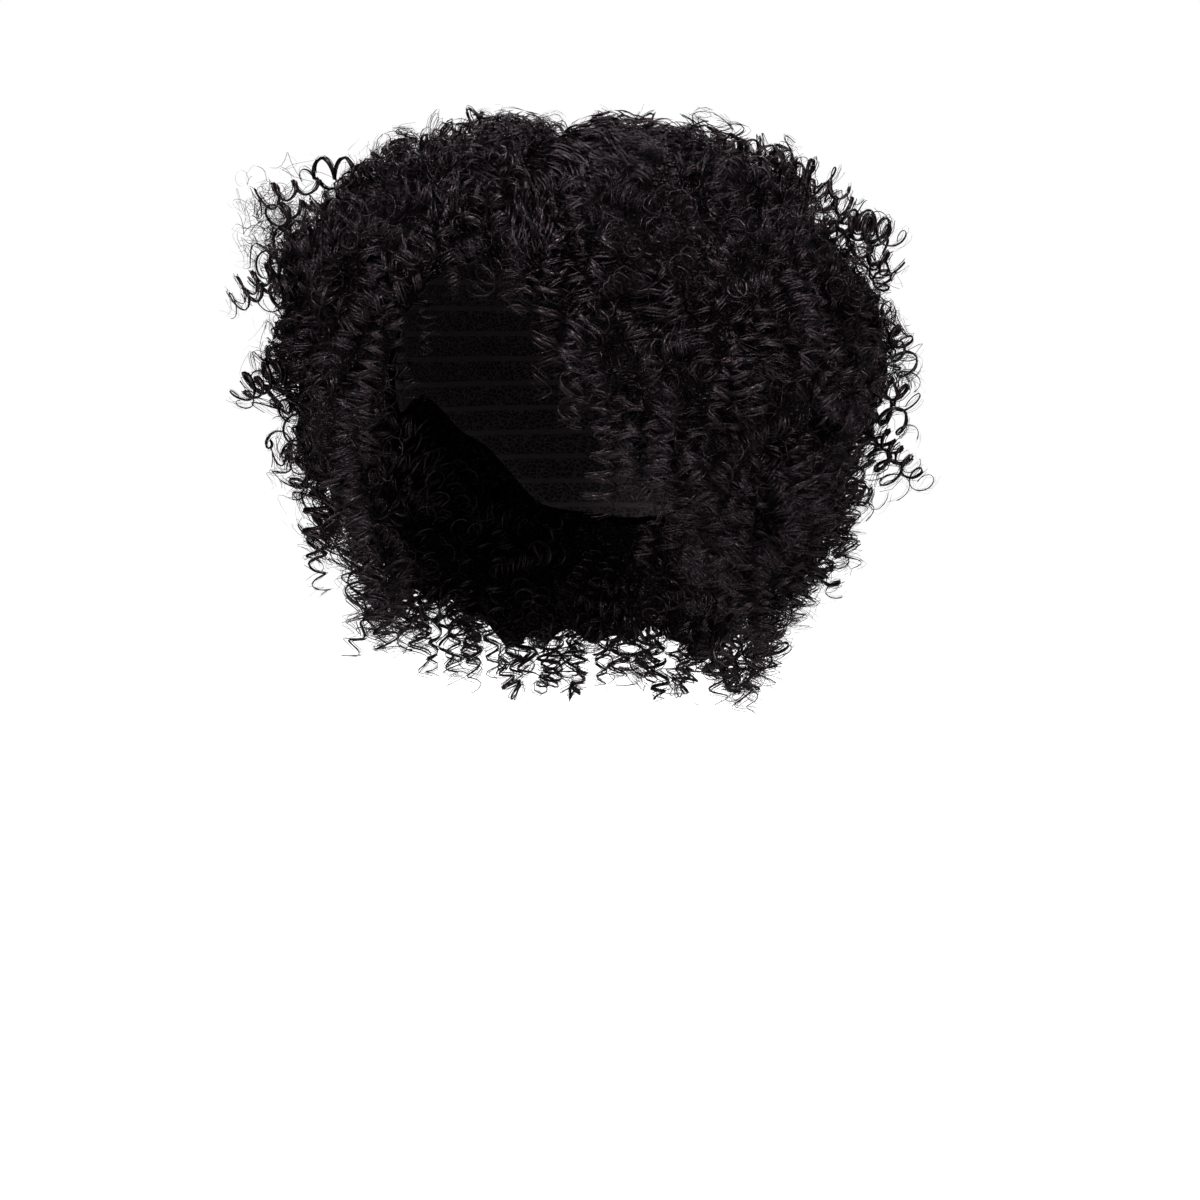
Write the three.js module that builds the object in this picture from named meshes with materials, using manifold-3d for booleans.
// A short, full wig of tight black curls with a parting on top.
//
// The wig is a thin net cap that fits over the head, and hair that is sewn to it in sections. Each
// section is a mass of rounded tufts that hang over each other, with loose curls that hang out of
// them. The hair opens like a curtain at the parting, falls past the ears on both sides and ends in
// a point at the nape.
//
// Millimetres, +Z up. The origin is the inside of the cap at the top of the head. The wearer looks
// along -Y and the wearer's left is +X. An azimuth is counted from the front towards the wearer's
// left, a polar angle from the crown downwards, both in degrees. A share runs from 0 at the crown to
// 1 at the hair's lower end.

import * as THREE from "three";
import { mergeVertices } from "three/addons/utils/BufferGeometryUtils.js";
import Module from "manifold-3d";

const wasm = await Module();
wasm.setup();

// Head form inside the cap: an average head of about 54 cm round
const HEAD_HALF_WIDTH = 75;
const HEAD_HALF_LENGTH = 95;
const CROWN_HEIGHT = 95; // from the widest level up to the crown
const NAPE_DROP = 130; // how far the form would reach below the widest level
const SQUARENESS = 2.4; // 2 is an ellipsoid, more is boxier
const PART_SIDE = 6; // the parting lies this far to the wearer's left of the middle
const CROWN_BACK = 14; // the hair whorl lies this far behind the middle

// Cap
const CAP_WALL = 1.4;
const CAP_COLUMNS = 36;
const CAP_ROWS = 6;
// The hem: how far below the crown it runs at each azimuth, the same on both sides
const CAP_EDGE = [
  { place: "hairline", at: 0, depth: 27 },
  { place: "forehead", at: 28, depth: 33 },
  { place: "temple", at: 48, depth: 56 },
  { place: "ear tab", at: 70, depth: 104 },
  { place: "over the ear", at: 90, depth: 92 },
  { place: "behind the ear", at: 116, depth: 118 },
  { place: "nape corner", at: 145, depth: 156 },
  { place: "nape", at: 180, depth: 160 },
];

// Outer form of the hair, over its tufts, the same on both sides. Top is its height half way out from
// the whorl, upper the radius at the level of the cap's top, belt the radius and level where the hair
// is fullest, low the radius two thirds down from there, and end the radius and level of the hair's
// lower end, where inner is the radius inside. The wearer's right hangs lower by drop.
const HAIR_TOP = 47; // over the whorl
const CROWN_TILT = 3; // how much higher the crown stands on the wearer's right
const HAIR_FORM = [
  { at: 0, top: 36, upper: 88, belt: 95, beltZ: -12, low: 93, end: 86, inner: 79, endZ: -36, drop: 0 },
  { at: 16, top: 38, upper: 97, belt: 110, beltZ: -24, low: 108, end: 101, inner: 92, endZ: -58, drop: 0 },
  { at: 27, top: 39, upper: 109, belt: 120, beltZ: -44, low: 118, end: 107, inner: 96, endZ: -98, drop: 6 },
  { at: 45, top: 40, upper: 125, belt: 138, beltZ: -58, low: 131, end: 112, inner: 90, endZ: -138, drop: 24 },
  { at: 64, top: 40, upper: 141, belt: 152, beltZ: -64, low: 126, end: 98, inner: 78, endZ: -166, drop: 46 },
  { at: 90, top: 40, upper: 146, belt: 165, beltZ: -72, low: 140, end: 104, inner: 80, endZ: -192, drop: 26 },
  { at: 116, top: 40, upper: 155, belt: 182, beltZ: -80, low: 147, end: 110, inner: 82, endZ: -238, drop: 0 },
  { at: 145, top: 40, upper: 152, belt: 178, beltZ: -84, low: 144, end: 108, inner: 84, endZ: -256, drop: 0 },
  { at: 180, top: 40, upper: 148, belt: 174, beltZ: -84, low: 142, end: 106, inner: 84, endZ: -250, drop: 0 },
];

// Hair mass: rounded tufts that hang over each other, with furrows between them
const GAP = 0.4; // between pieces that lie against each other
const RELIEF = 21; // how deep the furrows are
const RELIEF_SHARE = 0.5; // and no more than this much of the hair's thickness
const SMOOTH_SHARE = 0.2; // the crown is smooth, and the furrows reach their depth here
const TUFT_HALF_WIDTH = 24;
const TUFT_ABOVE = 0.115; // the share of the hair that a tuft reaches up from its fullest place
const TUFT_BELOW = 0.045; // and down from there
const PART_DEPTH = 16; // of the furrow along the parting
const PART_WIDTH = 9;
const PART_SHARE = 0.46; // how far it runs forward from the whorl
const COLUMN_STEP = 5; // degrees between the columns that the mass is drawn with
const CAP_SHARE = 0.5; // the share of the inner face that lies on the cap
const HOLLOW_SHARE = 1.04; // how far the hair keeps clear of the head, in parts of the cap's depth

// Tufts: rows from the crown down, with how many stand around the head in each row, and how many
// tufts go to one loose end
const TUFT_ROWS = [
  { row: "crown", share: 0.21, count: 12, loose: 4 },
  { row: "shoulder", share: 0.345, count: 16, loose: 5 },
  { row: "upper side", share: 0.48, count: 18, loose: 4 },
  { row: "belt", share: 0.615, count: 20, loose: 4 },
  { row: "lower side", share: 0.75, count: 18, loose: 4 },
  { row: "end", share: 0.89, count: 18, loose: 3 },
];
const UNEVEN_SHARE = 0.035; // of a tuft's place from tuft to tuft
const UNEVEN_FULLNESS = 0.25;
const UNEVEN_REACH = 5;

// Loose ends: curls that hang out of a tuft
const LOOSE_RADIUS = 5.5;
const LOOSE_COIL = 5; // how far the curl leaves its axis
const LOOSE_TURNS = 1.1;
const LOOSE_DROP = 32; // from its root to its tip
const LOOSE_OUT = 2; // past the outer form
const LOOSE_SIDES = 4;
const LOOSE_SHAPE = [1, 1.05, 1.05, 1, 0.86, 0.62, 0.25]; // radius along it, root to tip
const LOOSE_MARGIN = 7; // degrees to the next section
const LOOSE_SHARE = 0.14; // the share of hair that it covers

// Thin tendrils that hang from the curtain over the forehead and the cheek
const TENDRIL_RADIUS = 3.6;
const TENDRILS = [
  { place: "brow", azimuth: 23, rootShare: 0.62, tipAt: -94, tipReach: 99, turns: 2.2 },
  { place: "eye corner", azimuth: 36, rootShare: 0.8, tipAt: -140, tipReach: 104, turns: 2 },
  { place: "temple", azimuth: 49, rootShare: 0.86, tipAt: -138, tipReach: 106, turns: 1.6 },
  { place: "cheek", azimuth: 66, rootShare: 0.86, tipAt: -156, tipReach: 98, turns: 1.6 },
  { place: "right brow", azimuth: -20, rootShare: 0.6, tipAt: -62, tipReach: 98, turns: 1.6 },
];

// Sections: slices round the whorl. At the back the upper and the lower part are apart. A part has
// the shares of the outside and of the inner face that it covers, and how many steps they take.
const UPPER = { outFrom: 0, outTo: 0.6, out: 18, inFrom: 0, inTo: 0.375, in: 3 };
const LOWER = { outFrom: 0.6, outTo: 1, out: 12, inFrom: 0.375, inTo: 1, in: 5 };
const SECTIONS = [
  { name: "fringe_left", from: 0, to: 40, parts: [UPPER, LOWER] },
  { name: "fringe_right", from: -40, to: 0, parts: [UPPER, LOWER] },
  { name: "side_left", from: 40, to: 115, parts: [UPPER, LOWER] },
  { name: "side_right", from: -115, to: -40, parts: [UPPER, LOWER] },
  { name: "back_left", from: 115, to: 180, parts: [UPPER] },
  { name: "back_right", from: 180, to: 245, parts: [UPPER] },
  { name: "nape", from: 115, to: 245, parts: [LOWER] },
];

const HAIR_MATERIAL = { color: 0x17121a, roughness: 0.5, metalness: 0 };
const CAP_MATERIAL = { color: 0x0e0c0e, roughness: 0.9, metalness: 0 };

const { degToRad, radToDeg, lerp, smoothstep, euclideanModulo } = THREE.MathUtils;

// A column of a table at an azimuth, eased between its rows.
function eased(table, azimuth, column) {
  const around = Math.abs(euclideanModulo(azimuth + 180, 360) - 180);
  const next = Math.max(1, table.findIndex((row) => row.at >= around));
  const [a, b] = [table[next - 1], table[next]];
  return lerp(a[column], b[column], smoothstep(around, a.at, b.at));
}

// A point at a distance from the head's upright axis, its top end leaning to the whorl.
function aroundAxis(azimuth, across, along, ring, height) {
  return new THREE.Vector3(
    across * Math.sin(degToRad(azimuth)) + PART_SIDE * (1 - ring),
    -along * Math.cos(degToRad(azimuth)) + CROWN_BACK * (1 - ring),
    height,
  );
}

// The head form's surface, moved outwards by an offset.
function headPoint(azimuth, polar, offset) {
  const up = Math.cos(degToRad(polar));
  const reach = (up >= 0 ? CROWN_HEIGHT : NAPE_DROP) + offset;
  const ring = Math.sin(degToRad(polar)) ** (2 / SQUARENESS);
  const rise = Math.sign(up) * reach * Math.abs(up) ** (2 / SQUARENESS);
  const across = (HEAD_HALF_WIDTH + offset) * ring;
  const along = (HEAD_HALF_LENGTH + offset) * ring;
  return aroundAxis(azimuth, across, along, ring, rise - CROWN_HEIGHT);
}

// The polar angle of the cap's hem.
function hemPolar(azimuth) {
  const below = eased(CAP_EDGE, azimuth, "depth") - CROWN_HEIGHT;
  const share = Math.abs(below) / (below < 0 ? CROWN_HEIGHT : NAPE_DROP);
  return radToDeg(Math.acos(-Math.sign(below) * share ** (SQUARENESS / 2)));
}

// The height of the hair's lower end.
function endHeight(azimuth) {
  const right = Math.sin(degToRad(azimuth)) < 0;
  return eased(HAIR_FORM, azimuth, "endZ") - (right ? eased(HAIR_FORM, azimuth, "drop") : 0);
}

// The hair's inner face: on the cap as far as its hem, and hanging free below it.
function innerPoint(azimuth, share) {
  const onCap = Math.min(share / CAP_SHARE, 1);
  const edge = headPoint(azimuth, hemPolar(azimuth) * onCap, onCap < 1 ? -CAP_WALL : 0);
  const reach = eased(HAIR_FORM, azimuth, "inner");
  const end = aroundAxis(azimuth, reach, reach, 1, endHeight(azimuth));
  return edge.lerp(end, Math.max(0, (share - CAP_SHARE) / (1 - CAP_SHARE)));
}

// The hair's outer form in one upright half-plane, from the crown to the lower end.
const profiles = new Map();
function profileAt(azimuth) {
  if (!profiles.has(azimuth)) {
    const at = (column) => eased(HAIR_FORM, azimuth, column);
    const [beltZ, endZ] = [at("beltZ"), endHeight(azimuth)];
    const stations = [
      [0, HAIR_TOP],
      [0.62 * at("upper"), at("top") - CROWN_TILT * Math.sin(degToRad(azimuth))],
      [at("upper"), 0.18 * beltZ + 4],
      [at("belt"), beltZ],
      [at("low"), lerp(beltZ, endZ, 0.62)],
      [at("end"), endZ],
    ];
    const points = stations.map(([reach, height]) => new THREE.Vector3(reach, 0, height));
    profiles.set(azimuth, new THREE.CatmullRomCurve3(points));
  }
  return profiles.get(azimuth);
}

// The hair's outer form, over the tufts.
function outerPoint(azimuth, share) {
  const { x: reach, z: height } = profileAt(azimuth).getPointAt(share);
  const ring = Math.min(1, reach / eased(HAIR_FORM, azimuth, "upper"));
  return aroundAxis(azimuth, reach, reach, ring, height);
}

// A steady, uneven number from -1 to 1 for each tuft.
const uneven = (k) => Math.sin(k * 12.9898 + 4.1) * Math.cos(k * 7.233);

const tufts = TUFT_ROWS.flatMap(({ share, count, loose }, row) =>
  Array.from({ length: count }, (_, k) => ({
    azimuth: (360 * (k + (row % 2) / 2)) / count,
    share: share + UNEVEN_SHARE * uneven(30 * row + k),
    fullness: 1 + UNEVEN_FULLNESS * uneven(10 * row + k),
    hasLooseEnd: (k + row) % loose === 0,
  })),
);

// How far a place stands out of the furrows, from 0 in a furrow to 1 on top of a tuft.
function tuftHeight(azimuth, share) {
  const reach = profileAt(azimuth).getPointAt(share).x;
  let height = 0;
  for (const tuft of tufts) {
    const turn = euclideanModulo(azimuth - tuft.azimuth + 180, 360) - 180;
    const across = (degToRad(turn) * reach) / TUFT_HALF_WIDTH;
    const along = (share - tuft.share) / (share > tuft.share ? TUFT_BELOW : TUFT_ABOVE);
    height = Math.max(height, tuft.fullness * Math.sqrt(Math.max(0, 1 - across ** 2 - along ** 2)));
  }
  return height;
}

// The outside of the mass, with the furrow of the parting.
function massPoint(azimuth, share) {
  const outer = outerPoint(azimuth, share);
  const thickness = innerPoint(azimuth, share).sub(outer);
  const inFront = outer.y < CROWN_BACK && share < PART_SHARE ? 1 : 0;
  const parting = inFront * Math.exp(-(((outer.x - PART_SIDE) / PART_WIDTH) ** 2));
  const depth = RELIEF * Math.min(1, share / SMOOTH_SHARE);
  const relief = depth * (1 - tuftHeight(azimuth, share)) + PART_DEPTH * parting;
  return outer.add(thickness.setLength(Math.min(relief, RELIEF_SHARE * thickness.length())));
}

// A closed surface through rings of equally many points. closeEnd gives the triangles that close an
// end ring, wound like the ring.
function solidThroughRings(rings, closeEnd) {
  const sides = rings[0].length;
  const points = rings.flat();
  const last = points.length - sides;
  const index = [];
  for (let low = 0; low < last; low += sides) {
    for (let side = 0; side < sides; side++) {
      const next = (side + 1) % sides;
      const [a, b, c, d] = [low + side, low + next, low + sides + next, low + sides + side];
      const isFirstShorter = points[a].distanceTo(points[c]) < points[b].distanceTo(points[d]);
      index.push(...(isFirstShorter ? [a, b, c, a, c, d] : [a, b, d, b, c, d]));
    }
  }
  for (const [a, b, c] of closeEnd(sides)) index.push(a, c, b, last + a, last + b, last + c);
  return toSolid(new THREE.BufferGeometry().setFromPoints(points).setIndex(index));
}

// A ring that is round, or only a point, is closed from its first corner.
const closeRound = (sides) => Array.from({ length: sides - 2 }, (_, k) => [0, k + 1, k + 2]);

// A ring that runs down an outside and back up an inner face is closed by a strip between them, in
// parts that have their own number of steps outside and inside.
function closeStrip(parts) {
  const last = parts.reduce((sum, part) => sum + part.out + part.in, 1);
  const triangles = [];
  let [outer, inner] = [0, 0];
  for (const part of parts) {
    const [outerEnd, innerEnd] = [outer + part.out, inner + part.in];
    while (outer < outerEnd || inner < innerEnd) {
      if ((outerEnd - outer) / part.out >= (innerEnd - inner) / part.in) {
        triangles.push([outer, outer + 1, last - inner]);
        outer += 1;
      } else {
        triangles.push([outer, last - inner - 1, last - inner]);
        inner += 1;
      }
    }
  }
  return triangles;
}

// A closed geometry as a solid that can be joined and cut.
function toSolid(geometry) {
  const bare = geometry.clone();
  bare.deleteAttribute("normal");
  bare.deleteAttribute("uv");
  const merged = mergeVertices(bare, 1e-4);
  const corners = merged.index.array;
  const triVerts = [];
  for (let i = 0; i < corners.length; i += 3) {
    const [a, b, c] = corners.slice(i, i + 3);
    if (a !== b && b !== c && c !== a) triVerts.push(a, b, c);
  }
  const solid = new wasm.Manifold(
    new wasm.Mesh({
      numProp: 3,
      vertProperties: new Float32Array(merged.attributes.position.array),
      triVerts: new Uint32Array(triVerts),
    }),
  );
  if (solid.volume() < 0) throw new Error("a closed surface is inside out");
  return solid;
}

function toMesh(name, solid, material) {
  const { vertProperties, triVerts } = solid.getMesh();
  const geometry = new THREE.BufferGeometry();
  geometry.setAttribute("position", new THREE.BufferAttribute(vertProperties, 3));
  geometry.setIndex(new THREE.BufferAttribute(triVerts, 1));
  geometry.computeVertexNormals();
  const mesh = new THREE.Mesh(geometry, new THREE.MeshStandardMaterial(material));
  mesh.name = name;
  return mesh;
}

// Equal steps from one number to another.
const stepped = (from, to, steps) => Array.from({ length: steps + 1 }, (_, k) => lerp(from, to, k / steps));

// A tapered corkscrew along an axis.
function corkscrew(axis, radius, coil, turns, phase) {
  const steps = LOOSE_SHAPE.length - 1;
  const { normals, binormals } = axis.computeFrenetFrames(steps);
  const around = (centre, i, reach, angle) =>
    centre
      .clone()
      .addScaledVector(normals[i], reach * Math.cos(angle))
      .addScaledVector(binormals[i], reach * Math.sin(angle));
  const rings = LOOSE_SHAPE.map((share, i) => {
    const turn = phase + (i / steps) * turns * 2 * Math.PI;
    const centre = around(axis.getPoint(i / steps), i, coil * Math.min(1, (2 * i) / steps), turn);
    const angles = Array.from({ length: LOOSE_SIDES }, (_, k) => (2 * Math.PI * k) / LOOSE_SIDES);
    return angles.map((angle) => around(centre, i, radius * share, angle));
  });
  return solidThroughRings(rings, closeRound);
}

// A loose end: it leaves the tuft's fullest place, arches out and hangs down.
function looseEnd({ azimuth, share }) {
  const root = massPoint(azimuth, share);
  const outwards = root.clone().sub(innerPoint(azimuth, share)).normalize();
  root.addScaledVector(outwards, -LOOSE_RADIUS);
  const bend = root.clone().addScaledVector(outwards, LOOSE_OUT + 2 * LOOSE_RADIUS);
  const tip = bend.clone().addScaledVector(outwards, UNEVEN_REACH * uneven(azimuth));
  tip.setZ(bend.z - LOOSE_DROP);
  const axis = new THREE.QuadraticBezierCurve3(root, bend, tip);
  return corkscrew(axis, LOOSE_RADIUS, LOOSE_COIL, LOOSE_TURNS, azimuth);
}

// A tendril: it leaves the middle of the curtain and hangs in front of the face.
function tendril({ azimuth, rootShare, tipAt, tipReach, turns }) {
  const root = massPoint(azimuth, rootShare).lerp(innerPoint(azimuth, rootShare), 0.5);
  const tip = aroundAxis(azimuth, tipReach, tipReach, 1, tipAt);
  const bend = root.clone().lerp(tip, 0.3).setZ(lerp(root.z, tip.z, 0.15));
  const axis = new THREE.QuadraticBezierCurve3(root, bend, tip);
  return corkscrew(axis, TENDRIL_RADIUS, TENDRIL_RADIUS, turns, azimuth);
}

// One section of the mass, moved half a gap away from its neighbours.
function massSection({ from, to, parts }) {
  const outside = parts.flatMap((part) => stepped(part.outFrom, part.outTo, part.out).slice(1));
  const inside = parts.flatMap((part) => stepped(part.inFrom, part.inTo, part.in).slice(1));
  const columns = stepped(from, to, (to - from) / COLUMN_STEP).map((azimuth) => [
    ...[parts[0].outFrom, ...outside].map((share) => massPoint(azimuth, share)),
    ...[parts[0].inFrom, ...inside].reverse().map((share) => innerPoint(azimuth, share)),
  ]);
  const solid = solidThroughRings(columns, () => closeStrip(parts));
  const middle = degToRad((from + to) / 2);
  const away = GAP / 2 / Math.sin(degToRad((to - from) / 2));
  const down = parts[0] === LOWER ? GAP : 0;
  return solid.translate(away * Math.sin(middle), -away * Math.cos(middle), -down);
}

// Whether an azimuth lies in a section, clear of its sides by a margin.
function isInside({ from, to }, azimuth, margin) {
  const turn = euclideanModulo(azimuth - from, 360);
  return turn > margin && turn < to - from - margin;
}

// A section with its loose ends and tendrils, hollow where the cap goes.
function hairSection(section, hollow) {
  const ends = tufts.filter(
    ({ hasLooseEnd, azimuth, share }) =>
      hasLooseEnd &&
      isInside(section, azimuth, LOOSE_MARGIN) &&
      share > section.parts[0].outFrom &&
      (section.parts.includes(LOWER) || share < UPPER.outTo - LOOSE_SHARE),
  );
  const tendrils = TENDRILS.filter(({ azimuth }) => isInside(section, azimuth, 0));
  const curls = [...ends.map(looseEnd), ...tendrils.map(tendril)];
  const whole = curls.reduce((hair, curl) => hair.add(curl), massSection(section)).subtract(hollow);
  return largestShell(whole);
}

// The largest closed surface of a solid, without crumbs and without pockets between its curls.
function largestShell(solid) {
  return solid.decompose().reduce((best, shell) => (shell.volume() > best.volume() ? shell : best));
}

// The rings of a face of the cap at an offset from the head, from the crown to a share of the hem.
function capRings(offset, end) {
  const azimuths = stepped(0, 360, CAP_COLUMNS).slice(0, -1);
  const ringAt = (share) => azimuths.map((a) => headPoint(a, hemPolar(a) * share, offset));
  return [...stepped(0, 1, CAP_ROWS), ...(end > 1 ? [end] : [])].map(ringAt);
}

const cap = solidThroughRings([...capRings(0, 1), ...capRings(CAP_WALL, 1).reverse()], closeRound);
const hollow = solidThroughRings(capRings(CAP_WALL + GAP, HOLLOW_SHARE).reverse(), closeRound);

const wig = new THREE.Group();
wig.add(toMesh("cap", cap, CAP_MATERIAL));
for (const section of SECTIONS) wig.add(toMesh(section.name, hairSection(section, hollow), HAIR_MATERIAL));

export default wig;
